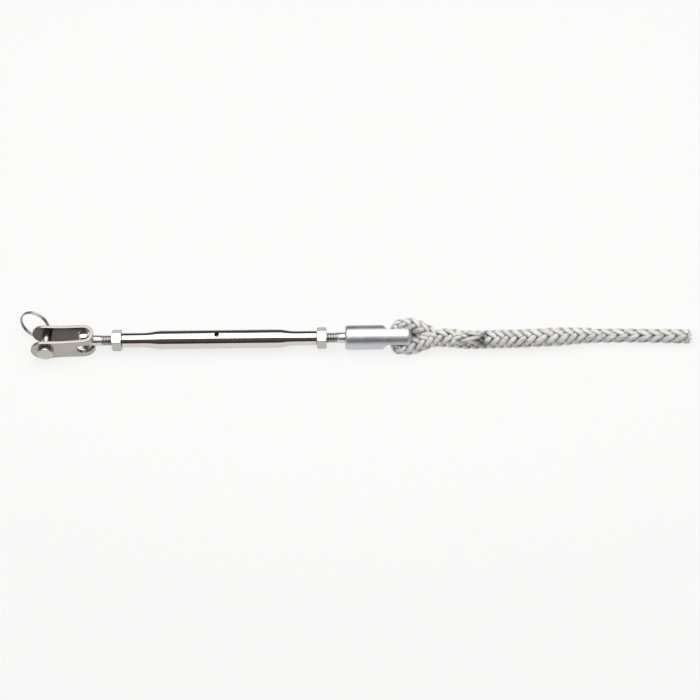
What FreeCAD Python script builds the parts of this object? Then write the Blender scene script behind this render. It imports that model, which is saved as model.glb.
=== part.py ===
import FreeCAD, Part
import math
import os

# Shroud adjuster: a closed-body bottlescrew with a slotted strap jaw at one end and a drilled terminal
# for an eye-spliced rope at the other. It lies on its side as it would on a table.
# Millimetres. +X runs from the jaw to the rope, +Z is up, and the origin is the middle of the barrel's
# cross hole, on the screw's axis.

# Screw thread, shared by both studs, both nuts and the barrel
thread_dia = 6.1
thread_clearance = 0.05
shank_dia = 6.25
stud_chamfer = 0.6

# Barrel
barrel_length = 114.3
barrel_middle_x = 1.25
barrel_dia = 11.1
barrel_neck_dia = 8.7
barrel_neck_length = 12.5
barrel_swell_length = 11.0
barrel_relief_dia = 7.6
barrel_thread_depth = 22.0
barrel_edge = 0.4
cross_hole_dia = 2.9
cross_hole_lean = 8.4

# Locknuts
nut_across_flats = 11.1
nut_thickness = 5.7
left_nut_turned = 52.7
right_nut_turned = 55.0
nut_corner_drop = 0.55
face_gap = 0.02

# Studs
stud_in_barrel = 47.0
toggle_thread_shown = 6.3
terminal_thread_shown = 6.25
terminal_shank_shown = 4.6
stud_in_terminal = 15.0

# T-head of the toggle stud
head_dia = 5.8
head_length = 12.3
head_chamfer = 0.5
head_to_shank_end = 9.98

# Strap jaw
strap_thickness = 1.95
bend_outer_radius = 6.35
bend_beyond_head = 5.8
arm_splay = 1.15
jaw_end_beyond_pin = 8.6
pin_to_head = 22.45
eye_width = 14.4
waist_width = 13.3
waist_from_pin = 9.5
bend_width = 13.9
strap_edge_round = 0.35
slot_clearance = 0.3
slot_past_head = 1.0
jaw_swivelled = 1.55

# Clevis pin
pin_dia = 6.0
pin_clearance = 0.05
pin_head_dia = 9.4
pin_head_thickness = 2.45
pin_head_seat = 0.1
pin_edge = 0.5
pin_tip_past_hole = 1.9
ring_hole_dia = 3.4
ring_hole_past_arm = 1.8
pin_turned = 16.9

# Split ring
ring_wire = 1.0
ring_mean_radius = 8.7
ring_turn_gap = 0.04
ring_turns = 1.9
ring_lean = 23.0
ring_tilt = 5.0
ring_off_hole_axis = 0.28

# Rope terminal
terminal_dia = 14.4
terminal_length = 39.1
terminal_tongue_length = 17.3
flat_run_length = 3.1
tongue_thickness = 9.3
terminal_heel_round = 1.6
nose_round = 3.6
rope_hole_dia = 7.2
rope_hole_from_nose = 10.1
rope_hole_round = 0.9
stud_bore_clearance = 0.0

# The eye of the rope, the terminal's flats and its rope hole lie in a plane that leans back this far
# from level.
eye_plane_lean = 37.0

# Rope
rope_dia = 8.0
eye_leg_dia = 6.2
eye_bend_share = 0.48
rope_clearance = 0.05

# Places along the screw's axis, worked out from the sizes above
barrel_left = barrel_middle_x - barrel_length / 2
barrel_right = barrel_middle_x + barrel_length / 2
left_nut_x = barrel_left - face_gap - nut_thickness
right_nut_x = barrel_right + face_gap
toggle_shank_end = left_nut_x - toggle_thread_shown
head_x = toggle_shank_end - head_to_shank_end
terminal_shank_start = right_nut_x + nut_thickness + terminal_thread_shown
terminal_x = terminal_shank_start + terminal_shank_shown
terminal_nose = terminal_x + terminal_length
rope_hole_x = terminal_nose - rope_hole_from_nose
pin_x = head_x - pin_to_head
jaw_end_x = pin_x - jaw_end_beyond_pin
bend_end_x = head_x + bend_beyond_head
bend_centre_x = bend_end_x - bend_outer_radius
floor_z = -terminal_dia / 2

# Directions in the eye plane: up the slope, and out of it towards the open side
slope = math.radians(eye_plane_lean)
up_slope = FreeCAD.Vector(0, math.cos(slope), math.sin(slope))
out_of_slope = FreeCAD.Vector(0, -math.sin(slope), math.cos(slope))

X_AXIS = FreeCAD.Vector(1, 0, 0)
Y_AXIS = FreeCAD.Vector(0, 1, 0)
Z_AXIS = FreeCAD.Vector(0, 0, 1)
ORIGIN = FreeCAD.Vector(0, 0, 0)


def vec(x, y=0.0, z=0.0):
    return FreeCAD.Vector(x, y, z)


def rod(radius, start, along, length):
    """A cylinder from a point along a direction."""
    return Part.makeCylinder(radius, length, start, along)


def turned(edges, axis_start=ORIGIN, axis=X_AXIS):
    """A solid of revolution from the edges of a closed half profile."""
    face = Part.Face(Part.Wire(Part.__sortEdges__(edges)))
    return face.revolve(axis_start, axis, 360)


def line(a, b):
    return Part.LineSegment(a, b).toShape()


def polyline(points):
    return [line(a, b) for a, b in zip(points, points[1:])]


def ogee(a, b):
    """Two equal arcs that leave a and reach b level, for a swell or a waist in a profile."""
    flat = abs(b.x - a.x)
    step = b.z - a.z
    radius = (flat * flat + step * step) / (4 * abs(step))
    middle = (a + b) * 0.5
    side = math.copysign(1, step)
    half = math.asin(flat / 2 / radius) / 2
    run = math.copysign(1, b.x - a.x)
    first = vec(a.x + run * radius * math.sin(half), 0, a.z + side * radius * (1 - math.cos(half)))
    last = vec(b.x - run * radius * math.sin(half), 0, b.z - side * radius * (1 - math.cos(half)))
    return [Part.Arc(a, first, middle).toShape(), Part.Arc(middle, last, b).toShape()]


def edges_where(shape, test):
    return [e for e in shape.Edges if test(e)]


def turned_stud(start, end, threaded_from, threaded_to):
    """A stud along the axis: shank diameter, with a stretch at thread diameter and a chamfered tip."""
    low, high = sorted((threaded_from, threaded_to))
    body = rod(thread_dia / 2, vec(low), X_AXIS, high - low)
    tip_x = threaded_to
    tip = edges_where(body, lambda e: abs(e.CenterOfMass.x - tip_x) < 1e-6 and e.Length > 1)
    body = body.makeChamfer(stud_chamfer, tip)
    shank = rod(shank_dia / 2, vec(start), X_AXIS, end - start)
    return body.fuse(shank)


def barrel():
    """The turned and swaged tube, tapped at both ends, relieved between, with its cross hole."""
    neck, body = barrel_neck_dia / 2, barrel_dia / 2
    left, right = barrel_left, barrel_right
    swell_from = left + barrel_neck_length
    swell_to = swell_from + barrel_swell_length
    fall_from = right - barrel_neck_length - barrel_swell_length
    fall_to = right - barrel_neck_length
    profile = polyline([vec(left), vec(left, 0, neck - barrel_edge), vec(left + barrel_edge, 0, neck),
                        vec(swell_from, 0, neck)])
    profile += ogee(vec(swell_from, 0, neck), vec(swell_to, 0, body))
    profile.append(line(vec(swell_to, 0, body), vec(fall_from, 0, body)))
    profile += ogee(vec(fall_from, 0, body), vec(fall_to, 0, neck))
    profile += polyline([vec(fall_to, 0, neck), vec(right - barrel_edge, 0, neck),
                         vec(right, 0, neck - barrel_edge), vec(right), vec(left)])
    tube = turned(profile)
    tapped = rod(thread_dia / 2 + thread_clearance, vec(left - 1), X_AXIS, barrel_length + 2)
    relief_length = barrel_length - 2 * barrel_thread_depth
    relief = rod(barrel_relief_dia / 2, vec(left + barrel_thread_depth), X_AXIS, relief_length)
    lean = math.radians(cross_hole_lean)
    across = vec(0, -math.sin(lean), math.cos(lean))
    hole = rod(cross_hole_dia / 2, across * -barrel_dia, across, 2 * barrel_dia)
    return tube.cut([tapped, relief, hole])


def locknut(x, turned_by):
    """A hexagon nut, chamfered on both faces, run up against the barrel."""
    corner_radius = nut_across_flats / 2 / math.cos(math.radians(30))
    angles = [math.radians(turned_by + 60 * k) for k in range(7)]
    ring = [vec(x, -corner_radius * math.sin(a), corner_radius * math.cos(a)) for a in angles]
    blank = Part.Face(Part.makePolygon(ring)).extrude(vec(nut_thickness))
    flat = nut_across_flats / 2 - 0.1
    outer = corner_radius + 0.1
    rise = (outer - flat) * nut_corner_drop
    end = x + nut_thickness
    cone = turned(polyline([vec(x), vec(x, 0, flat), vec(x + rise, 0, outer), vec(end - rise, 0, outer),
                            vec(end, 0, flat), vec(end), vec(x)]))
    bore = rod(thread_dia / 2 + thread_clearance, vec(x - 1), X_AXIS, nut_thickness + 2)
    return blank.common(cone).cut(bore)


def toggle_stud():
    """The T-headed stud: its cross head lies in the jaw's bend and its shank comes out of the slot."""
    tip = barrel_left + stud_in_barrel
    stud = turned_stud(head_x, toggle_shank_end, toggle_shank_end, tip)
    head = rod(head_dia / 2, vec(head_x, 0, -head_length / 2), Z_AXIS, head_length)
    head = head.makeChamfer(head_chamfer, edges_where(head, lambda e: abs(e.CenterOfMass.z) > head_length / 2 - 0.1))
    return stud.fuse(head)


def terminal_stud():
    """The plain stud at the rope end, made fast in the terminal."""
    tip = barrel_right - stud_in_barrel
    return turned_stud(terminal_shank_start, terminal_x + stud_in_terminal, terminal_shank_start, tip)


def swivelled(shape):
    """The jaw and what it carries, turned on the T-head to where they lie."""
    shape.rotate(vec(head_x), Z_AXIS, jaw_swivelled)
    return shape


def jaw_plan():
    """The folded strap seen from above: a U whose arms splay towards the pin."""
    splay = math.radians(arm_splay)
    reach = bend_centre_x - jaw_end_x + 2

    def side(radius):
        touch = vec(bend_centre_x + radius * math.sin(splay), radius * math.cos(splay))
        end = touch + vec(-math.cos(splay), math.sin(splay)) * reach
        return touch, end

    outer_touch, outer_end = side(bend_outer_radius)
    inner_touch, inner_end = side(bend_outer_radius - strap_thickness)

    def mirrored(p):
        return vec(p.x, -p.y)

    def bend(touch, radius):
        return Part.Arc(touch, vec(bend_centre_x + radius), mirrored(touch)).toShape()

    edges = [line(outer_end, outer_touch), bend(outer_touch, bend_outer_radius),
             line(mirrored(outer_touch), mirrored(outer_end)), line(mirrored(outer_end), mirrored(inner_end)),
             line(mirrored(inner_end), mirrored(inner_touch)),
             bend(inner_touch, bend_outer_radius - strap_thickness),
             line(inner_touch, inner_end), line(inner_end, outer_end)]
    face = Part.Face(Part.Wire(Part.__sortEdges__(edges)))
    face.translate(vec(0, 0, -eye_width))
    return face.extrude(vec(0, 0, 2 * eye_width))


def jaw_side():
    """The strap's outline seen square to the arms: a round eye, a waist and the full width at the bend."""
    eye, waist, wide = eye_width / 2, waist_width / 2, bend_width / 2
    eye_x = jaw_end_x + eye
    waist_x = pin_x + waist_from_pin
    right = bend_end_x + 1

    def edge(sign):
        top = ogee(vec(eye_x, 0, sign * eye), vec(waist_x, 0, sign * waist))
        top += ogee(vec(waist_x, 0, sign * waist), vec(head_x, 0, sign * wide))
        top.append(line(vec(head_x, 0, sign * wide), vec(right, 0, sign * wide)))
        return top

    end = Part.Arc(vec(eye_x, 0, eye), vec(jaw_end_x), vec(eye_x, 0, -eye)).toShape()
    edges = edge(1) + edge(-1) + [end, line(vec(right, 0, wide), vec(right, 0, -wide))]
    face = Part.Face(Part.Wire(Part.__sortEdges__(edges)))
    face.translate(vec(0, -eye_width, 0))
    return face.extrude(vec(0, 2 * eye_width, 0))


def toggle_jaw():
    """The strap folded into a jaw, with eyes for the pin and a slot round the bend for the stud."""
    strap = jaw_plan().common(jaw_side())
    rims = edges_where(strap, lambda e: e.Length > 1.2 * strap_thickness)
    strap = strap.makeFillet(strap_edge_round, rims)
    pin_hole = rod(pin_dia / 2 + pin_clearance, vec(pin_x, -eye_width), Y_AXIS, 2 * eye_width)
    half_slot = shank_dia / 2 + slot_clearance
    slot_start = head_x - shank_dia / 2 - slot_past_head
    slot_end = rod(half_slot, vec(slot_start + half_slot, -eye_width), Y_AXIS, 2 * eye_width)
    slot = Part.makeBox(2 * bend_outer_radius + slot_past_head + shank_dia, 2 * eye_width, 2 * half_slot,
                        vec(slot_start + half_slot, -eye_width, -half_slot))
    return strap.cut([pin_hole, slot_end, slot])


def arm_outer_y(x):
    """How far the jaw's outer face is from the middle plane at a place along it."""
    splay = math.radians(arm_splay)
    return bend_outer_radius / math.cos(splay) + (bend_centre_x - x) * math.tan(splay)


def ring_hole_point():
    return vec(pin_x, arm_outer_y(pin_x) + ring_hole_past_arm)


def ring_hole_direction():
    turn = math.radians(pin_turned)
    return vec(math.sin(turn), 0, math.cos(turn))


def clevis_pin():
    """The headed pin, drilled near its tip for the split ring."""
    seat_y = -(arm_outer_y(pin_x - pin_head_dia / 2) + pin_head_seat)
    tip_y = ring_hole_point().y + pin_tip_past_hole
    shaft = rod(pin_dia / 2, vec(pin_x, seat_y), Y_AXIS, tip_y - seat_y)
    shaft = shaft.makeFillet(3 * pin_edge, edges_where(shaft, lambda e: abs(e.CenterOfMass.y - tip_y) < 1e-6))
    face_y = seat_y - pin_head_thickness
    head = rod(pin_head_dia / 2, vec(pin_x, face_y), Y_AXIS, pin_head_thickness)
    head = head.makeFillet(pin_edge, edges_where(head, lambda e: abs(e.CenterOfMass.y - face_y) < 1e-6))
    along = ring_hole_direction()
    hole = rod(ring_hole_dia / 2, ring_hole_point() - along * pin_dia, along, 2 * pin_dia)
    return shaft.fuse(head).cut(hole)


def split_ring():
    """A wire ring of nearly two turns, through the pin's hole and leaning down behind the far arm."""
    lean, tilt = math.radians(ring_lean), math.radians(ring_tilt)
    along = ring_hole_direction()
    beside = vec(along.z, 0, -along.x)
    through = along * math.cos(tilt) + Y_AXIS * math.sin(tilt)
    back = Y_AXIS * math.cos(tilt) - along * math.sin(tilt)
    to_hole = beside * math.cos(lean) - back * math.sin(lean)
    normal = to_hole.cross(through)
    centre = ring_hole_point() - to_hole * (ring_mean_radius - ring_off_hole_axis)
    pitch = ring_wire + ring_turn_gap
    rise = pitch / (2 * math.pi)
    steps = round(16 * ring_turns)
    sections = []
    for step in range(steps + 1):
        angle = 2 * math.pi * ring_turns * step / steps
        outward = vec(math.cos(angle), math.sin(angle))
        heading = vec(-ring_mean_radius * outward.y, ring_mean_radius * outward.x, rise)
        circle = Part.Circle(outward * ring_mean_radius + vec(0, 0, rise * angle), heading, ring_wire / 2)
        circle.XAxis = outward
        sections.append(Part.Wire(circle.toShape()))
    wire = Part.makeLoft(sections, True)
    wire.translate(vec(0, 0, -pitch * ring_turns / 2))
    frame = FreeCAD.Matrix(to_hole.x, through.x, normal.x, centre.x, to_hole.y, through.y, normal.y, centre.y,
                           to_hole.z, through.z, normal.z, centre.z, 0, 0, 0, 1)
    place = FreeCAD.Placement(frame)
    wire.Placement = place.multiply(wire.Placement)
    return wire


def sloped_prism(edges, depth):
    """A profile drawn in X and Z, extruded both ways along Y, then leant with the eye plane."""
    face = Part.Face(Part.Wire(Part.__sortEdges__(edges)))
    face.translate(vec(0, -depth, 0))
    block = face.extrude(vec(0, 2 * depth, 0))
    block.rotate(ORIGIN, X_AXIS, eye_plane_lean - 90)
    return block


def rope_terminal():
    """The turned terminal: a plain barrel, a tongue between two milled flats, and the rope's hole."""
    radius, half = terminal_dia / 2, tongue_thickness / 2
    blank = rod(radius, vec(terminal_x), X_AXIS, terminal_length)
    heel = edges_where(blank, lambda e: abs(e.CenterOfMass.x - terminal_x) < 1e-6)
    nose = edges_where(blank, lambda e: abs(e.CenterOfMass.x - terminal_nose) < 1e-6)
    blank = blank.makeFillet(terminal_heel_round, heel).makeFillet(nose_round, nose)
    flats_from = terminal_nose - terminal_tongue_length
    flats_at = flats_from + flat_run_length
    side = polyline([vec(terminal_x - 1, 0, -radius - 1), vec(terminal_x - 1, 0, radius + 1),
                     vec(flats_from, 0, radius + 1), vec(flats_from, 0, radius), vec(flats_at, 0, half),
                     vec(terminal_nose + 1, 0, half), vec(terminal_nose + 1, 0, -half),
                     vec(flats_at, 0, -half), vec(flats_from, 0, -radius), vec(flats_from, 0, -radius - 1),
                     vec(terminal_x - 1, 0, -radius - 1)])
    body = blank.common(sloped_prism(side, terminal_dia))
    hole_start = vec(rope_hole_x) - up_slope * terminal_dia
    body = body.cut(rod(rope_hole_dia / 2, hole_start, up_slope, 2 * terminal_dia))
    mouths = edges_where(body, lambda e: abs(abs(e.CenterOfMass.dot(up_slope)) - half) < 0.05
                         and abs(e.Length - math.pi * rope_hole_dia) < 0.5)
    body = body.makeFillet(rope_hole_round, mouths)
    socket = rod(shank_dia / 2 + stud_bore_clearance, vec(terminal_x - 1), X_AXIS, stud_in_terminal + 1)
    return body.cut(socket)


# The rope's line from the mouth of its splice to its cut end, on the floor it lies on.
# Each point is (X, Y, radius of the rope there); its height comes from the floor and the radius.
rope_line_points = [(158.0, -1.3, 5.45), (180.0, -1.2, 5.55), (200.0, 0.4, 5.5), (213.0, 1.3, 4.8),
                    (226.0, 1.45, 4.0), (243.0, 1.25, 4.0), (260.0, 0.7, 4.0), (277.3, 0.2, 4.0)]
taper_end = 4

# The eye's legs from the terminal's hole to the throat, and the locked throat where they join.
# Each point is (along X, up the slope, out of the slope); throat points add the two half widths.
eye_corner = eye_leg_dia / 2 + tongue_thickness / 2 + rope_clearance
upper_leg_points = [(rope_hole_x, eye_corner, 0.0), (113.2, 8.35, 0.0), (120.5, 5.5, 0.1), (127.8, 1.0, 0.3)]
lower_leg_points = [(rope_hole_x, -eye_corner, 0.75), (113.2, -8.3, 1.13), (121.0, -5.7, 0.9),
                    (128.8, -1.7, 0.6)]
throat_points = [(120.0, -0.1, 0.45, 6.9, 3.4), (126.0, -0.35, 0.4, 5.3, 4.2), (133.0, -0.8, 0.3, 5.0, 4.9), (145.0, -1.5, 0.0, 5.3, 5.2)]


def on_floor(point):
    x, y, radius = point
    return vec(x, y, floor_z + radius)


def in_eye(x, up, out):
    """A point of the eye: along the axis, up its slope, and out of its plane."""
    return vec(x) + up_slope * up + out_of_slope * out


def path_of(points, share=0.45):
    """Straight runs joined by tangent arcs, as large as the runs allow; returns the wire and the radii."""
    edges, radii = [], []
    start = points[0]
    for before, corner, after in zip(points, points[1:], points[2:]):
        into = (corner - before).normalize()
        out = (after - corner).normalize()
        turn = into.getAngle(out)
        cut = share * min((corner - before).Length, (after - corner).Length)
        radius = cut / math.tan(turn / 2)
        radii.append(radius)
        enter = corner - into * cut
        leave = corner + out * cut
        inward = (out - into).normalize()
        middle = corner + inward * (radius / math.cos(turn / 2) - radius)
        edges.append(line(start, enter))
        edges.append(Part.Arc(enter, middle, leave).toShape())
        start = leave
    edges.append(line(start, points[-1]))
    return Part.Wire(edges), radii


def tube(points, radius, name, share=0.45):
    """A round tube along a path of runs and arcs."""
    path, radii = path_of(points, share)
    heading = (points[1] - points[0]).normalize()
    section = Part.Wire(Part.Circle(points[0], heading, radius).toShape())
    made = path.makePipeShell([section], True, True)
    expected = math.pi * radius ** 2 * path.Length
    print(f"{name}: length {path.Length:.1f}, volume {made.Volume:.0f} of {expected:.0f},"
          f" radii {[round(r) for r in radii]}")
    return made


def oval(centre, heading, half_up, half_out):
    """A wire round a point of the rope, square to its heading."""
    out = heading.cross(up_slope).normalize()
    up = out.cross(heading)
    wire = Part.Wire(Part.Circle(ORIGIN, Z_AXIS, 1).toShape())
    return wire.transformGeometry(FreeCAD.Matrix(
        up.x * half_up, out.x * half_out, -heading.x, centre.x, up.y * half_up, out.y * half_out, -heading.y,
        centre.y, up.z * half_up, out.z * half_out, -heading.z, centre.z, 0, 0, 0, 1))


def line_heading(index):
    """The rope's direction at a point of its line: square to both runs, or along the plain line's first."""
    points = [on_floor(p) for p in rope_line_points]
    if index == taper_end:
        return (points[index + 1] - points[index]).normalize()
    before = points[index - 1] if index else in_eye(*throat_points[-1][:3])
    return (points[index + 1] - before).normalize()


def line_section(index):
    radius = rope_line_points[index][2]
    return oval(on_floor(rope_line_points[index]), line_heading(index), radius, radius)


def eye_leg(points, name):
    """Half of the eye, from the middle of the terminal's hole out round the tongue and to the throat."""
    route = [in_eye(rope_hole_x, 0, 0)] + [in_eye(*p) for p in points]
    return tube(route, eye_leg_dia / 2, name, eye_bend_share)


def rope_eye():
    """The eye's two legs, rove through the terminal, and the locked throat where they join the rope."""
    legs = eye_leg(upper_leg_points, "upper leg").fuse(eye_leg(lower_leg_points, "lower leg"))
    sections = [oval(in_eye(*p[:3]), X_AXIS, p[3], p[4]) for p in throat_points]
    throat = Part.makeLoft(sections + [line_section(0)], True)
    return legs.fuse(throat)


def rope_splice():
    """The fat stretch with the tail buried in it, and its taper down to the plain line."""
    return Part.makeLoft([line_section(k) for k in range(taper_end + 1)], True)


def rope_line():
    """The plain line to its cut end."""
    return tube([on_floor(p) for p in rope_line_points[taper_end:]], rope_dia / 2, "rope_line")


nodes = {
    "toggle_jaw": lambda: swivelled(toggle_jaw()),
    "clevis_pin": lambda: swivelled(clevis_pin()),
    "split_ring": lambda: swivelled(split_ring()),
    "toggle_stud": toggle_stud,
    "left_locknut": lambda: locknut(left_nut_x, left_nut_turned),
    "barrel": barrel,
    "right_locknut": lambda: locknut(right_nut_x, right_nut_turned),
    "terminal_stud": terminal_stud,
    "rope_terminal": rope_terminal,
    "rope_eye": rope_eye,
    "rope_splice": rope_splice,
    "rope_line": rope_line,
}

os.makedirs("parts", exist_ok=True)
for name, make in nodes.items():
    shape = make()
    box = shape.optimalBoundingBox()
    print(f"{name}: {len(shape.Solids)} solid, valid {shape.isValid()}, {shape.Volume:.1f} mm3,"
          f" x {box.XMin:.2f} {box.XMax:.2f}, y {box.YMin:.2f} {box.YMax:.2f}, z {box.ZMin:.2f} {box.ZMax:.2f}")
    shape.exportStep(f"parts/{name}.step")
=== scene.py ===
import math
import random

import bpy
import numpy as np
from mathutils import Matrix, Vector


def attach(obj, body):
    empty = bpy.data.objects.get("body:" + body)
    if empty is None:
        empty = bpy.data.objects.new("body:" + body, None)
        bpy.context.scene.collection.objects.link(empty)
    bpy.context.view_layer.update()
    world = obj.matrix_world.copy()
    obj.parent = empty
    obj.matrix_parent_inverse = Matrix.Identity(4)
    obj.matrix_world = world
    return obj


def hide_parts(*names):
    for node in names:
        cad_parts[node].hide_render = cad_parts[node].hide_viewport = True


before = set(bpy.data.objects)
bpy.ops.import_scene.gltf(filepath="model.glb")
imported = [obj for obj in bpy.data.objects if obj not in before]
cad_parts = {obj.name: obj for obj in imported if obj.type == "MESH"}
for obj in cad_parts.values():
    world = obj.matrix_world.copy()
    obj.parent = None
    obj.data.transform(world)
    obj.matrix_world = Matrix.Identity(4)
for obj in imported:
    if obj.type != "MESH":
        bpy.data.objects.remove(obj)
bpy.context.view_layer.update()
scene = bpy.context.scene
scene.view_settings.view_transform = "Standard"

MM = 0.001
FULL_TURN = 2 * math.pi
FLOOR_Z = -7.2 * MM

# Places and sizes of the part are written in millimetres, from the middle of the cross hole.
HEAD_X = -77.9  # the T-head's axis, about which the jaw swivels
JAW_LEAN = math.radians(1.55)
HOLE_AXIS = (0.0, -0.146083, 0.989272)

# The photograph looks down from the front at this angle. The eye of the rope lies square to that
# view, so places in the eye are given as X, up the slope and out of it.
VIEW_RISE = math.radians(53.0)
OUT = Vector((0.0, -math.cos(VIEW_RISE), math.sin(VIEW_RISE)))
UP = Vector((0.0, math.sin(VIEW_RISE), math.cos(VIEW_RISE)))
ACROSS = Vector((1.0, 0.0, 0.0))


def in_eye(x, up, out):
    return Vector((x, 0.0, 0.0)) * MM + UP * up * MM + OUT * out * MM


def on_floor(x, y, height):
    return Vector((x * MM, y * MM, FLOOR_Z + height * MM))


# Camera

camera_distance = 0.9
camera_roll = math.radians(0.68)
aim = in_eye(77.75, -7.3, 0.0)
right = ACROSS * math.cos(camera_roll) - UP * math.sin(camera_roll)
upward = UP * math.cos(camera_roll) + ACROSS * math.sin(camera_roll)
place = aim + OUT * camera_distance
camera_data = bpy.data.cameras.new("camera")
camera_data.lens = 78.84
camera_data.sensor_width = 36.0
camera_data.clip_start = 0.05
camera_data.clip_end = 20.0
camera = bpy.data.objects.new("camera", camera_data)
camera.matrix_world = Matrix((
    (right.x, upward.x, OUT.x, place.x),
    (right.y, upward.y, OUT.y, place.y),
    (right.z, upward.z, OUT.z, place.z),
    (0, 0, 0, 1),
))
scene.collection.objects.link(camera)
scene.camera = camera


# Materials

class Tree:
    """Short calls for the node tree of a material or of the world."""

    def __init__(self, owner):
        owner.use_nodes = True
        self.owner = owner
        self.nodes = owner.node_tree.nodes
        self.links = owner.node_tree.links
        self.shader = self.nodes.get("Principled BSDF")

    def put(self, value, socket):
        """Join a value that comes from a node to the socket, or else set it there."""
        if isinstance(value, bpy.types.NodeSocket):
            self.links.new(value, socket)
        else:
            socket.default_value = value

    def surface(self, values):
        """Put values on the main shader, by the names of its inputs."""
        for name, value in values.items():
            self.put(value, self.shader.inputs[name])

    def end_with(self, shader):
        self.put(shader, self.nodes["Material Output"].inputs["Surface"])

    def new(self, kind, **values):
        """A new node; each value is for the input of that name, or else for a setting."""
        node = self.nodes.new(kind)
        for key, value in values.items():
            if key in node.inputs.keys():
                node.inputs[key].default_value = value
            else:
                setattr(node, key, value)
        return node

    def filled(self, node, values):
        """The node, with values put on its inputs in order."""
        for value, socket in zip(values, node.inputs):
            self.put(value, socket)
        return node

    def math(self, operation, *values):
        node = self.new("ShaderNodeMath", operation=operation)
        return self.filled(node, values).outputs[0]

    def vector(self, operation, *values):
        node = self.new("ShaderNodeVectorMath", operation=operation)
        result = "Value" if operation in ("LENGTH", "DOT_PRODUCT") else "Vector"
        return self.filled(node, values).outputs[result]

    def split(self, source):
        return self.filled(self.new("ShaderNodeSeparateXYZ"), [source]).outputs

    def where(self):
        """The place in the piece's own coordinates."""
        return self.new("ShaderNodeTexCoord").outputs["Object"]

    def noise(self, place, scale, detail, roughness=0.5):
        node = self.new("ShaderNodeTexNoise", Scale=scale, Detail=detail, Roughness=roughness)
        self.put(place, node.inputs["Vector"])
        return node.outputs["Fac"]

    def mix(self, factor, a, b):
        node = self.new("ShaderNodeMix", data_type="RGBA")
        for name, value in (("Factor", factor), ("A", a), ("B", b)):
            self.put(value, node.inputs[name])
        return node.outputs["Result"]

    def ramp(self, source, stops):
        node = self.new("ShaderNodeValToRGB")
        ramp = node.color_ramp
        while len(ramp.elements) < len(stops):
            ramp.elements.new(0.5)
        for element, (at, colour) in zip(ramp.elements, stops):
            element.position = at
            element.color = (*colour, 1.0)
        self.put(source, node.inputs[0])
        return node.outputs[0]

    def bump(self, height, strength, distance):
        node = self.new("ShaderNodeBump", Strength=strength, Distance=distance)
        self.put(height, node.inputs["Height"])
        return node.outputs["Normal"]


def metal(name, colour, roughness, lines=(1.0, 1.0, 1.0), line_scale=9000.0, depth=0.00002,
          mottle=0.03):
    """Polished or tumbled stainless steel: fine marks along one direction, and faint smears."""
    t = Tree(bpy.data.materials.new(name))
    where = t.where()
    smear = t.noise(where, 160.0, 5.0, 0.6)
    low = tuple(c * (1 - mottle) for c in colour)
    high = tuple(min(1.0, c * (1 + mottle)) for c in colour)
    stretch = t.new("ShaderNodeMapping", Scale=lines)
    t.put(where, stretch.inputs["Vector"])
    marks = t.noise(stretch.outputs["Vector"], line_scale, 3.0, 0.65)
    t.surface({
        "Metallic": 1.0,
        "Base Color": t.ramp(smear, [(0.3, low), (0.7, high)]),
        "Roughness": t.math("MULTIPLY_ADD", smear, roughness * 0.5, roughness * 0.75),
        "Normal": t.bump(marks, 0.25, depth),
    })
    return t


turned_steel = metal("turned_steel", (0.64, 0.63, 0.62), 0.1, lines=(1.0, 0.02, 0.02),
                     line_scale=6000.0)
terminal_steel = metal("terminal_steel", (0.59, 0.61, 0.63), 0.42, lines=(0.1, 1.0, 1.0),
                       line_scale=4500.0, depth=0.000006, mottle=0.04)
nut_steel = metal("nut_steel", (0.5, 0.495, 0.48), 0.28, line_scale=2500.0)
strap_steel = metal("strap_steel", (0.435, 0.41, 0.377), 0.2, lines=(0.08, 1.0, 1.0),
                    line_scale=3500.0, depth=0.00003, mottle=0.05)
pin_steel = metal("pin_steel", (0.53, 0.505, 0.49), 0.17, line_scale=3000.0, mottle=0.04)
wire_steel = metal("wire_steel", (0.4, 0.385, 0.36), 0.2, line_scale=6000.0)
thread_steel = metal("thread_steel", (0.66, 0.64, 0.62), 0.3, line_scale=6000.0)

# Painted shade on steel: the dark colour that a metal is mixed towards where shade falls.
PAINTED_SHADE_STEEL = (0.04, 0.036, 0.032, 1.0)


def paint_shade(t, measured, shaded_at, unshaded_at, kept):
    """Paint shade on a metal: it has its own colour where the measured value is at the second
    bound, and only the kept share of it, mixed towards painted shade, where the value is at the
    first bound."""
    unshaded = t.shader.inputs["Base Color"].links[0].from_socket
    share = t.new("ShaderNodeMapRange", **{"From Min": shaded_at, "From Max": unshaded_at,
                                           "To Min": kept, "To Max": 1.0})
    t.put(measured, share.inputs["Value"])
    t.surface({"Base Color": t.mix(share.outputs["Result"], PAINTED_SHADE_STEEL, unshaded)})


def from_screw_axis(t):
    """Distance from the screw's axis."""
    return t.vector("LENGTH", t.vector("MULTIPLY", t.where(), (0.0, 1.0, 1.0)))


def from_cross_hole(t):
    """Distance from the axis of the barrel's cross hole."""
    return t.vector("LENGTH", t.vector("CROSS_PRODUCT", t.where(), HOLE_AXIS))


def facing_inward(t, axis, middle):
    """Below zero on faces that look at the plane through the middle, square to the axis."""
    where = t.new("ShaderNodeTexCoord").outputs
    away = t.vector("DOT_PRODUCT", t.vector("SUBTRACT", where["Object"], middle), axis)
    return t.math("MULTIPLY", away, t.vector("DOT_PRODUCT", where["Normal"], axis))


# Painted shade: inside, between its arms, the bent strap is painted darker, where the slot lies in
# shade. The nuts are painted darker towards their corners, as shade that marks their edges, and the
# wall of the cross hole is painted dark as shade.
across_jaw = (-math.sin(JAW_LEAN), math.cos(JAW_LEAN), 0.0)
paint_shade(strap_steel, facing_inward(strap_steel, across_jaw, (HEAD_X * MM, 0.0, 0.0)),
     -3.5 * MM, -1.0 * MM, 0.2)
paint_shade(nut_steel, from_screw_axis(nut_steel), 6.36 * MM, 6.12 * MM, 0.35)
paint_shade(turned_steel, from_cross_hole(turned_steel), 1.46 * MM, 1.5 * MM, 0.1)

YARN_PITCH = 0.38 * MM


def grey(value, warm):
    return (value * (1 + warm), value, value * (1 - warm))


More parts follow.
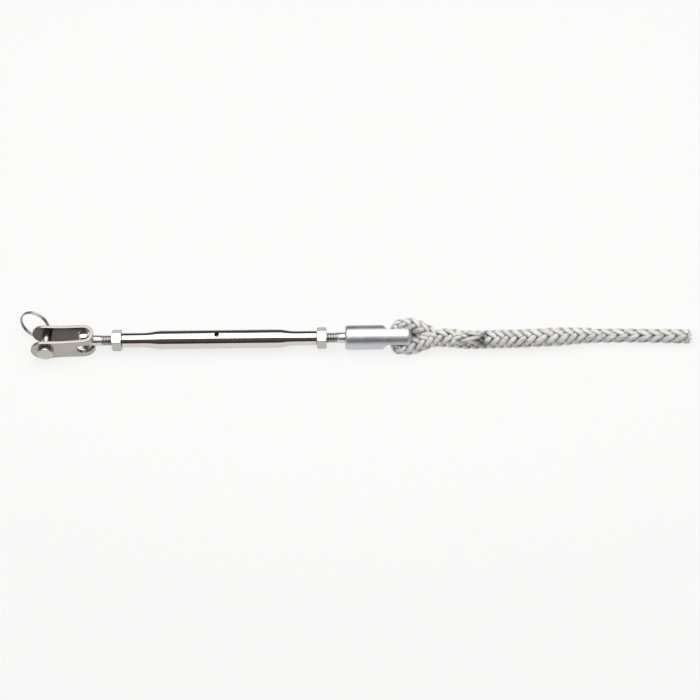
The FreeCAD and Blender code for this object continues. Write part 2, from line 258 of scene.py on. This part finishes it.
def rope_material(name, light=1.0, sheen=0.15):
    """Coated grey twelve-strand: fine yarns along each strand, a soft shine, and painted shade
    between the strands, taken with each strand's own tone from a value on every point. The strand
    map's U runs along the strand and V across it, in metres."""
    t = Tree(bpy.data.materials.new(name))
    where = t.where()
    strand = t.split(t.new("ShaderNodeUVMap", uv_map="strand").outputs["UV"])
    across = t.math("ADD", strand["Y"], t.math("MULTIPLY", strand["X"], 0.1))
    across = t.math("ADD", across, t.math("MULTIPLY", t.noise(where, 700.0, 2.0), 0.3 * MM))
    yarns = t.math("SINE", t.math("MULTIPLY", across, FULL_TURN / YARN_PITCH))
    stretch = t.new("ShaderNodeCombineXYZ")
    t.put(t.math("MULTIPLY", strand["X"], 240.0), stretch.inputs["X"])
    t.put(t.math("MULTIPLY", across, 8000.0), stretch.inputs["Y"])
    fine = t.noise(stretch.outputs[0], 1.0, 4.0, 0.7)
    blotch = t.noise(where, 260.0, 3.0)
    tone = t.math("ADD", t.math("MULTIPLY", fine, 0.6), t.math("MULTIPLY", blotch, 0.4))
    yarn_colour = t.ramp(tone, [(0.37, grey(0.54 * light, 0.035)),
                                (0.5, grey(0.88 * light, 0.028)),
                                (0.58, grey(0.97 * light, 0.02))])
    # Painted shade: the colour that the yarns are mixed towards by the per-point shade and tone
    # value.
    painted_shade_colour = (0.065 * light, 0.058 * light, 0.055 * light, 1.0)
    painted_shade_and_tone = t.new("ShaderNodeAttribute", attribute_name="painted_shade_and_tone").outputs["Fac"]
    height = t.math("ADD", t.math("MULTIPLY", yarns, 0.4), t.math("MULTIPLY", fine, 1.2))
    t.surface({
        "Base Color": t.mix(painted_shade_and_tone, yarn_colour, painted_shade_colour),
        "Roughness": 0.32,
        "Specular IOR Level": 0.6,
        "Sheen Weight": sheen,
        "Normal": t.bump(height, 0.5, 0.07 * MM),
    })
    return t


rope_grey = rope_material("rope_grey")
# The rope's inside is the same rope painted at 0.3 of its lightness, as painted shade.
rope_in_painted_shade = rope_material("rope_in_painted_shade", light=0.3, sheen=0.0)

for node, metal_tree in {
    "toggle_jaw": strap_steel,
    "clevis_pin": pin_steel,
    "split_ring": wire_steel,
    "left_locknut": nut_steel,
    "right_locknut": nut_steel,
    "barrel": turned_steel,
    "rope_terminal": terminal_steel,
}.items():
    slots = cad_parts[node].data.materials
    slots.clear()
    slots.append(metal_tree.owner)


# Mesh helpers

def mesh_object(name, tree, vertices, faces, uvs=None, painted_shade_and_tone=None):
    mesh = bpy.data.meshes.new(name)
    mesh.from_pydata([tuple(v) for v in vertices], [], faces)
    if uvs is not None:
        layer = mesh.uv_layers.new(name="strand")
        corners = np.zeros(len(mesh.loops), int)
        mesh.loops.foreach_get("vertex_index", corners)
        layer.data.foreach_set("uv", np.asarray(uvs, float)[corners].ravel())
    # A value on every point for the rope: painted shade, with each strand's own tone added.
    if painted_shade_and_tone is not None:
        values = np.asarray(painted_shade_and_tone, float)
        mesh.attributes.new("painted_shade_and_tone", "FLOAT", "POINT").data.foreach_set("value", values)
    mesh.update()
    mesh.polygons.foreach_set("use_smooth", [True] * len(mesh.polygons))
    mesh.materials.append(tree.owner)
    obj = bpy.data.objects.new(name, mesh)
    scene.collection.objects.link(obj)
    return obj


def ring_faces(rings, around, first=0):
    """Quads between rings of points, and one face on each end."""
    faces = []
    for r in range(rings - 1):
        a = first + r * around
        b = a + around
        for i in range(around):
            j = (i + 1) % around
            faces.append((a + i, a + j, b + j, b + i))
    faces.append(tuple(first + i for i in reversed(range(around))))
    last = first + (rings - 1) * around
    faces.append(tuple(last + i for i in range(around)))
    return faces


# Studs with real threads

THREAD_PITCH = 25.4 / 28.0
THREAD_STEPS = 12  # to a pitch
THREAD_OUTSIDE = 3.1
THREAD_ROOT = 2.58
THREAD_START = 3.05  # the radius beside the shank
SHANK_RADIUS = 3.125


def thread_profile(turn):
    """Height between root and crest for a place in the pitch, from 0 to 1."""
    root, flank = 0.16, 0.58  # shares of half a pitch; the crest takes the rest
    from_root = abs((turn % 1.0) * 2 - 1)
    return min(1.0, max(0.0, (from_root - root) / flank))


def threaded_stud(name, shank_from, shank_to, tip, hand):
    """A shank and a screw thread along X, as one skin; hand is 1 for right-handed, -1 for left."""
    around, step, run_out, point = 40, 0.05, 0.7, 0.75
    run = 1 if tip > shank_to else -1
    length = abs(tip - shank_to)
    count = int(length / THREAD_PITCH * THREAD_STEPS)
    angles = [FULL_TURN * i / around for i in range(around)]
    vertices = []

    def add(x, radius, angle):
        place = Vector((x, radius * math.cos(angle), radius * math.sin(angle)))
        vertices.append(place * MM)

    for x, radius in ((shank_from, SHANK_RADIUS), (shank_to, SHANK_RADIUS),
                      (shank_to + run * step, THREAD_START)):
        for angle in angles:
            add(x, radius, angle)
    for s in range(1, count + 1):
        x = shank_to + run * (step + (length - step) * s / count)
        into = abs(x - shank_to)
        most = THREAD_OUTSIDE - max(0.0, point - (length - into))
        for i, angle in enumerate(angles):
            height = thread_profile(x / THREAD_PITCH - hand * i / around)
            radius = THREAD_ROOT + (THREAD_OUTSIDE - THREAD_ROOT) * height
            if into < run_out:
                radius = max(radius, THREAD_START - (THREAD_START - THREAD_ROOT) * into / run_out)
            add(x, min(radius, most), angle)
    faces = ring_faces(len(vertices) // around, around)
    if run < 0:
        faces = [tuple(reversed(f)) for f in faces]
    return mesh_object(name, thread_steel, vertices, faces)


def cross_head(name, radius, half, edge):
    """The T-head: a short round bar square to the stud, with broken ends."""
    around, first_step, along_side = 64, 0.15, 0.4
    end = [(half, radius - edge), (half - first_step, radius - edge * 0.55), (half - edge, radius)]
    side = half - edge - along_side
    profile = [(-z, r) for z, r in end]
    profile += [(z, radius) for z in np.linspace(-side, side, 12)]
    profile += end[::-1]
    vertices = []
    for z, r in profile:
        for i in range(around):
            a = FULL_TURN * i / around
            vertices.append(Vector((HEAD_X + r * math.cos(a), r * math.sin(a), z)) * MM)
    return mesh_object(name, turned_steel, vertices, ring_faces(len(profile), around))


# Painted shade in the thread's roots: the thread is painted darker towards the root.
paint_shade(thread_steel, from_screw_axis(thread_steel), (THREAD_ROOT + 0.1) * MM, THREAD_OUTSIDE * MM,
     0.4)
toggle_thread = threaded_stud("toggle_stud_thread", HEAD_X, -67.92, -8.9, 1)
toggle_head = cross_head("toggle_stud_head", 2.9, 6.15, 0.5)
terminal_thread = threaded_stud("terminal_stud_thread", 80.0, 70.37, 11.4, -1)
for piece, body in ((toggle_thread, "toggle_stud"), (toggle_head, "toggle_stud"),
                    (terminal_thread, "terminal_side")):
    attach(piece, body)
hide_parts("toggle_stud")
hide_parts("terminal_stud")


# Rope

ROUTE_STEP = 0.4 * MM


def nurbs_line(name, points):
    """Points along a smooth line with the given control points."""
    curve = bpy.data.curves.new(name, "CURVE")
    curve.dimensions = "3D"
    curve.resolution_u = 24
    spline = curve.splines.new("NURBS")
    spline.points.add(len(points) - 1)
    for p, place in zip(spline.points, points):
        p.co = (*place, 1.0)
    spline.order_u = 3
    spline.use_endpoint_u = True
    helper = bpy.data.objects.new(name, curve)
    scene.collection.objects.link(helper)
    bpy.context.view_layer.update()
    mesh = bpy.data.meshes.new_from_object(helper)
    found = np.array([v.co for v in mesh.vertices], float)
    bpy.data.objects.remove(helper)
    bpy.data.curves.remove(curve)
    bpy.data.meshes.remove(mesh)
    return found


def running_length(points):
    """The length along a row of points, for each of them."""
    return np.concatenate([[0], np.cumsum(np.linalg.norm(np.diff(points, axis=0), axis=1))])


def unit(vectors):
    return vectors / np.linalg.norm(vectors, axis=1)[:, None]


def smoothed(points, reach=4):
    """A row of points, each taken together with its neighbours; the ends stay as they are."""
    kernel = np.hanning(2 * reach + 1)
    kernel /= kernel.sum()
    padded = np.pad(points, ((reach, reach), (0, 0)), "edge")
    smooth = np.stack([np.convolve(padded[:, k], kernel, "valid") for k in range(3)], 1)
    smooth[:reach], smooth[-reach:] = points[:reach], points[-reach:]
    return smooth


class Route:
    """A line with its length, its direction, the two directions square to it and, once shape has
    set them, the sizes of the braid that runs along it."""

    def __init__(self, name, control_points):
        found = nurbs_line(name, control_points)
        gaps = np.linalg.norm(np.diff(found, axis=0), axis=1)
        found = found[np.concatenate([[True], gaps > 1e-7])]
        run = running_length(found)
        self.length = run[-1]
        self.at = np.linspace(0, self.length, int(self.length / ROUTE_STEP) + 1)
        even = np.stack([np.interp(self.at, run, found[:, k]) for k in range(3)], 1)
        self.points = smoothed(even)
        self.heading = unit(np.gradient(self.points, axis=0))
        out = np.array(OUT)
        self.out = unit(out - (self.heading @ out)[:, None] * self.heading)
        self.up = np.cross(self.out, self.heading)
        self.sizes = {}

    def length_at_x(self, x):
        """The length along the line, from its start, where it last passes this X."""
        return self.at[np.nonzero(self.points[:, 0] < x * MM)[0][-1]]

    def shape(self, **sizes):
        """Set sizes for every point from (X, value) pairs; the first holds from the start."""
        for name, pairs in sizes.items():
            lengths = [0.0] + [self.length_at_x(x) for x, value in pairs]
            values = [pairs[0][1]] + [value for x, value in pairs]
            self.sizes[name] = np.interp(self.at, lengths, values)

    def between(self, start, finish):
        """The numbers of the points from one length along the line to another."""
        return np.nonzero((self.at >= start - 1e-9) & (self.at <= finish + 1e-9))[0]


# The lower leg, the throat where the legs lock, the splice and the plain line are one line, and the
# last two lie on the floor. The tail is the upper leg, which goes in at the throat, shows once more
# and is then buried.
standing = Route("standing_route", [in_eye(*p) for p in (
    (103.97, 0, 0), (103.9, -8.2, 0.75), (111.4, -6.3, 0.9), (117.0, -4.4, 0.7),
    (122.5, -2.6, 0.5), (127.6, -1.0, 0.2), (134.5, -0.5, 0.2), (140.0, -1.3, -0.9),
    (145.0, -2.0, -2.4), (151.5, -2.1, -2.3))] + [on_floor(*p) for p in (
        (158.0, -1.2, 5.5), (166.0, -1.2, 5.6), (180.0, -0.9, 5.65), (200.0, 0.1, 5.6),
        (213.0, 1.35, 4.9), (226.0, 1.6, 4.1), (243.0, 1.55, 4.1), (260.0, 0.85, 4.1),
        (277.3, 0.4, 4.1))])
tail = Route("tail_route", [in_eye(*p) for p in (
    (103.97, 0, 0), (103.9, 8.2, 0), (111.6, 6.9, 0), (117.2, 5.0, 0.1), (122.6, 2.5, 0.3),
    (127.5, -0.5, -0.4), (134.0, -1.3, -1.0), (139.0, -1.1, 0.8), (143.5, -1.1, 2.7),
    (149.5, -1.2, 3.0), (154.0, -1.4, 2.3), (158.5, -1.8, 0.2), (164.0, -1.9, -0.8))])
leaves = standing.length_at_x(129.5)
end = standing.length

# Radius is the rope's outside and lay the length of a strand's full turn, in millimetres. Flatten
# squeezes the rope along its out direction, slender is a strand's width as a share of the spacing,
# and columns is the angle, in degrees, at which the strands cross.
standing.shape(
    radius=[(108.0, 3.05), (111.5, 4.6), (115.5, 5.4), (124.0, 4.9), (128.0, 5.1), (131.0, 5.6),
            (138.0, 5.8), (144.0, 5.55), (154.0, 5.6), (200.0, 5.7), (213.0, 5.0), (226.0, 4.25),
            (262.0, 4.25), (270.0, 4.4), (277.0, 4.5)],
    flatten=[(109.0, 1.0), (114.0, 0.8), (134.0, 0.8), (140.0, 0.72), (144.5, 0.58),
             (153.0, 0.6), (156.2, 0.85), (158.5, 1.0)],
    lay=[(120.0, 33.0), (150.0, 29.0), (157.0, 28.0), (167.0, 29.5), (177.0, 31.0),
         (182.0, 34.5), (188.6, 39.0), (195.0, 39.5), (201.5, 37.0), (207.0, 31.5),
         (212.4, 33.5), (218.0, 35.0), (224.0, 35.5), (230.0, 40.0), (244.0, 41.0),
         (251.0, 43.5), (258.0, 42.0), (265.0, 39.0)],
    slender=[(124.0, 0.95), (134.0, 0.86), (160.0, 0.86), (205.0, 0.88), (225.0, 0.92)],
    columns=[(125.0, -15.0), (160.0, -19.0), (205.0, -19.0), (235.0, -24.0)])
tail.shape(
    radius=[(108.0, 3.05), (111.5, 4.7), (115.5, 5.5), (124.0, 4.9), (128.0, 3.9), (137.0, 3.2),
            (142.0, 3.8), (154.0, 3.7), (159.0, 3.0)],
    flatten=[(109.0, 1.0), (114.0, 0.8), (130.0, 0.8), (160.0, 0.8)],
    lay=[(120.0, 33.0), (138.0, 33.0), (143.0, 60.0), (160.0, 60.0)],
    slender=[(124.0, 0.95), (134.0, 0.8), (160.0, 0.8)],
    columns=[(125.0, -15.0), (160.0, -5.0)])

STRANDS_EACH_WAY = 6
CROSSINGS_ROUND = 3
SECTION = 12  # points round a strand
STRAND_THICKNESS = 0.62  # share of the spacing between strands
STRAND_DEPTH = 0.56  # how far a strand dives, as a share of its thickness
STRAND_SWELL = 0.16  # how much wider it is on top, as a share of the spacing
STRAND_CURL = 0.9  # how far its section bends round the rope
DIVE_SHARPNESS = 2.6
SPACING_RADIUS = 0.85  # where the spacing is measured, as a share of the rope's radius
MAP_STRIDE = 0.013  # between one strand and the next on the strand map, in metres


def crotch_shade(x, angle, side):
    """The dark in the crotch of the eye, on the strands that look into it."""
    inner = np.clip(np.sin(angle) * side + 0.35, 0, 1)
    return 0.55 * np.exp(-((x - 115.5) / 3.2) ** 2) * inner


def standing_shade(x, angle):
    """The crotch's dark, and that of the hole where the tail goes in between two strands."""
    facing = np.clip(np.cos(angle), 0, 1)
    hole = np.exp(-((x - 156.6 - 1.6 * (1 - facing)) / 1.3) ** 2) * facing
    return crotch_shade(x, angle, 1) + hole


def tail_shade(x, angle):
    """The crotch's dark, and the tail's own where it goes in."""
    hole = np.interp(x, (149.0, 152.5, 155.6), (0.0, 0.25, 1.0)) * (x > 140)
    return crotch_shade(x, angle, -1) + hole


def strand_shade_and_tone(over, ring, tone):
    """Painted shade where a strand dives, on its under side and along its edges, with the strand's
    own tone added.
    """
    dive = np.clip(0.5 - 0.62 * over, 0, 1)[:, None] * 0.75
    under_side = np.clip(-np.sin(ring), 0, 1) * 0.5
    edges = np.clip(np.abs(np.cos(ring)) - 0.45, 0, 1)
    return dive + under_side + edges + tone


def braid(route, start, finish, seed, shade, ragged=0.0):
    """Twelve strands, six each way round, over two and under two, from one length along the route
    to another. Gives the vertices, faces, strand map, and for each point its painted shade and
    tone."""
    outer = route.sizes["radius"] * MM
    lay = route.sizes["lay"] * MM
    squeeze = route.sizes["flatten"]
    column = np.radians(route.sizes["columns"])
    turn = np.concatenate([[0], np.cumsum(FULL_TURN / lay[:-1] * np.diff(route.at))])
    mean = outer * (1 + squeeze) / 2
    slant = np.arctan(FULL_TURN * mean * SPACING_RADIUS / lay)
    spacing = lay / STRANDS_EACH_WAY * np.sin(slant)
    rng = random.Random(seed)
    ring = np.linspace(0, FULL_TURN, SECTION, endpoint=False)
    vertices, faces, uvs, painted_shade_and_tone = [], [], [], []
    count = 0
    for way in (1, -1):
        for k in range(STRANDS_EACH_WAY):
            angle = way * turn + FULL_TURN * k / STRANDS_EACH_WAY + rng.uniform(-0.04, 0.04)
            swell = rng.uniform(0.96, 1.04)
            tone = rng.uniform(-0.03, 0.05)
            stop = finish - rng.uniform(0.2, 1.0) * ragged
            wave = np.cos(CROSSINGS_ROUND * (angle - column)) * way
            over = np.tanh(DIVE_SHARPNESS * wave) / math.tanh(DIVE_SHARPNESS)
            width = spacing * (route.sizes["slender"] + STRAND_SWELL * wave) * swell
            thick = spacing * STRAND_THICKNESS * swell
            depth = outer - thick / 2 - thick * STRAND_DEPTH * (1 - over)
            ca, sa = np.cos(angle)[:, None], np.sin(angle)[:, None]
            line = route.points + (route.out * ca * squeeze[:, None]
                                   + route.up * sa) * depth[:, None]
            tangent = unit(np.gradient(line, axis=0))
            normal = route.out * ca + route.up * sa * squeeze[:, None]
            normal -= np.sum(normal * tangent, 1)[:, None] * tangent
            normal = unit(normal)
            side = np.cross(tangent, normal)
            pick = route.between(start, stop)
            x = width[pick, None] / 2 * np.cos(ring)
            rise = thick[pick, None] / 2 * np.sin(ring)
            rise = rise - x * x / (2 * outer[pick, None]) * STRAND_CURL
            points = (line[pick, None] + side[pick, None] * x[..., None]
                      + normal[pick, None] * rise[..., None])
            points[..., 2] = np.maximum(points[..., 2], FLOOR_Z + 0.03 * MM)
            vertices.append(points.reshape(-1, 3))
            row = MAP_STRIDE * (k + STRANDS_EACH_WAY * (way > 0))
            across = row + width[pick, None] * 0.55 * ring
            run = np.broadcast_to(running_length(line)[pick, None], across.shape)
            uvs.append(np.stack([run, across], -1).reshape(-1, 2))
            low = strand_shade_and_tone(over[pick], ring, tone)
            low = low + shade(route.points[:, 0] / MM, angle)[pick, None]
            painted_shade_and_tone.append(np.clip(low, 0, 1).ravel())
            faces += ring_faces(len(pick), SECTION, count)
            count += len(pick) * SECTION
    return np.concatenate(vertices), faces, np.concatenate(uvs), np.concatenate(painted_shade_and_tone)


def core(route, finish):
    """The rope's inside, painted dark as shade, so that nothing shows through between the strands.
    """
    share, around, low = 0.55, 16, 0.5
    pick = route.between(0.0, finish)[::2]
    half = route.sizes["radius"][pick, None, None] * MM * share
    squeeze = route.sizes["flatten"][pick, None, None]
    a = np.linspace(0, FULL_TURN, around, endpoint=False)[None, :, None]
    points = route.points[pick, None] + (route.out[pick, None] * np.cos(a) * squeeze
                                         + route.up[pick, None] * np.sin(a)) * half
    points = points.reshape(-1, 3)
    return points, ring_faces(len(pick), around), points[:, :2], [low] * len(points)


def frayed_fibres(route, count, seed):
    """Loose fibres at the cut: fine hairs that stand out of the end and droop a little."""
    disc, root, hidden = 3.7 * MM, 2.6 * MM, 2.2 * MM
    rings, sides = 5, 4
    rng = random.Random(seed)
    tip, ahead = route.points[-1], route.heading[-1]
    out, up = route.out[-1], route.up[-1]
    vertices, faces, uvs = [], [], []
    for n in range(count):
        a, r = rng.uniform(0, FULL_TURN), disc * math.sqrt(rng.random())
        spread = rng.uniform(0.05, 0.55)
        long = rng.random() < 0.12
        length = rng.uniform(3.0, 6.5) * MM if long else rng.uniform(0.8, 2.4) * MM
        radius = rng.uniform(0.035, 0.06) * MM
        radial = out * math.cos(a) + up * math.sin(a)
        start = tip - ahead * root + radial * r
        swirl = rng.uniform(-1.2, 1.2)
        for j in range(rings):
            t = j / (rings - 1)
            reach = (length + hidden) * t
            centre = start + ahead * reach + radial * reach * spread * t * 0.6
            centre = centre + np.cross(ahead, radial) * reach * swirl * t * 0.25
            centre = centre + np.array((0, 0, -1.0)) * reach * t * 0.12
            centre[2] = max(centre[2], FLOOR_Z + 2 * radius)
            size = radius * (1 - 0.6 * t)
            for q in range(sides):
                b = FULL_TURN / sides * q
                vertices.append(centre + (out * math.cos(b) + up * math.sin(b)) * size)
                uvs.append((reach, 0.001 * n + 0.0002 * q))
        faces += ring_faces(rings, sides, n * rings * sides)
    return vertices, faces, uvs, [0.0] * len(vertices)


rope_lower_leg = mesh_object("rope_lower_leg", rope_grey,
                             *braid(standing, 0.0, leaves, 1, standing_shade))
rope_tail = mesh_object("rope_tail", rope_grey, *braid(tail, 0.0, tail.length, 5, tail_shade))
rope_cord = mesh_object("rope_cord", rope_grey,
                        *braid(standing, leaves, end, 1, standing_shade, ragged=1.9 * MM))
rope_fray = mesh_object("rope_fray", rope_grey, *frayed_fibres(standing, 170, 11))
core_standing = mesh_object("rope_core_standing", rope_in_painted_shade, *core(standing, end - 2.0 * MM))
core_tail = mesh_object("rope_core_tail", rope_in_painted_shade, *core(tail, tail.length))
rope_parts = [rope_lower_leg, rope_tail, rope_fray, core_standing, core_tail]
for piece in (rope_cord, *rope_parts):
    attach(piece, "terminal_side")
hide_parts("rope_eye")
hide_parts("rope_splice", "rope_line")
cord_path = [tuple(p) for p in standing.points[standing.at >= leaves][::8]]
cord_path.append(tuple(standing.points[-1]))


# Floor, flags and light

STAGE_Z = FLOOR_Z - 0.02 * MM
FLOOR_HALF = 4.0
FLAG_FAR = 1.7
FLAG_HIGH = 3.3


def stage_plane(name, corners, tree):
    obj = mesh_object(name, tree, corners, [(0, 1, 2, 3)])
    return obj


def seen_by_view(t):
    """One for what the camera sees, also in a mirror or through glass, and nought for light that
    is scattered on to the part."""
    path = t.new("ShaderNodeLightPath").outputs
    seen = t.math("ADD", path["Is Camera Ray"], path["Is Glossy Ray"])
    return t.math("ADD", seen, path["Is Transmission Ray"])


def floor_white():
    t = Tree(bpy.data.materials.new("floor_white"))
    t.surface({"Base Color": (0.84, 0.84, 0.83, 1.0), "Roughness": 0.9})
    glow = t.new("ShaderNodeEmission", Color=(1.0, 1.0, 1.0, 1.0), Strength=1.0)
    share = t.math("MULTIPLY", seen_by_view(t), 0.8)
    blend = t.filled(t.new("ShaderNodeMixShader"), [share, t.shader.outputs[0], glow.outputs[0]])
    t.end_with(blend.outputs[0])
    return t


def flag_cloth(name, stops):
    """A cloth that glows by itself; the stops run from the floor, at 0, to its top, at 1."""
    t = Tree(bpy.data.materials.new(name))
    t.nodes.remove(t.shader)
    height = t.math("DIVIDE", t.split(t.where())["Z"], FLAG_HIGH)
    glow = t.new("ShaderNodeEmission", Strength=1.0)
    t.put(t.ramp(height, stops), glow.inputs["Color"])
    t.end_with(glow.outputs[0])
    return t


stage_plane("floor", [(x * FLOOR_HALF, y * FLOOR_HALF, STAGE_Z)
                      for x, y in ((-1, -1), (1, -1), (1, 1), (-1, 1))], floor_white())

# Flags all round, as in a tent with an open top: polished steel shows the front and rear ones as
# its dark bands. The light ones show in its end faces and throw no light on the rope.
warm_cloth = flag_cloth("warm_cloth", [
    (0.0, (0.022, 0.016, 0.013)), (0.14, (0.06, 0.038, 0.027)), (0.26, (0.12, 0.078, 0.055)),
    (0.4, (0.105, 0.1, 0.095)), (1.0, (0.14, 0.14, 0.14))])
plain_cloth = flag_cloth("plain_cloth", [
    (0.0, (0.02, 0.019, 0.018)), (0.26, (0.08, 0.077, 0.074)), (1.0, (0.13, 0.13, 0.13))])
light_cloth = flag_cloth("light_cloth", [
    (0.0, (0.1, 0.098, 0.095)), (0.15, (0.34, 0.335, 0.33)), (1.0, (0.55, 0.55, 0.55))])
for name, start, stop, cloth in (("flag_front", (-1, -1), (1, -1), warm_cloth),
                                 ("flag_right", (1, -1), (1, 1), light_cloth),
                                 ("flag_rear", (1, 1), (-1, 1), plain_cloth),
                                 ("flag_left", (-1, 1), (-1, -1), light_cloth)):
    flag = stage_plane(name, [(x * FLAG_FAR, y * FLAG_FAR, z) for (x, y), z in (
        (start, STAGE_Z), (stop, STAGE_Z), (stop, FLAG_HIGH), (start, FLAG_HIGH))], cloth)
    flag.visible_camera = False
    flag.visible_diffuse = cloth is not light_cloth

# The view sees a white sky, and the part is lit by a dim one.
scene.world = bpy.data.worlds.new("studio")
sky = Tree(scene.world)
background = sky.nodes["Background"]
sky.put(1.0, background.inputs["Strength"])
sky.put(sky.mix(seen_by_view(sky), (0.1, 0.1, 0.1, 1.0), (1.0, 1.0, 1.0, 1.0)),
        background.inputs["Color"])

# An even rectangular light over the part, which shines straight down
RADIANCE = 1.95
box_data = bpy.data.lights.new("overhead_box", "AREA")
box_data.shape = "RECTANGLE"
box_data.size = 1.5
box_data.size_y = 1.0
box_data.energy = RADIANCE * box_data.size * box_data.size_y * math.pi
overhead_box = bpy.data.objects.new("overhead_box", box_data)
overhead_box.location = (0.08, 0.13, 0.72)
scene.collection.objects.link(overhead_box)

bpy.context.view_layer.update()
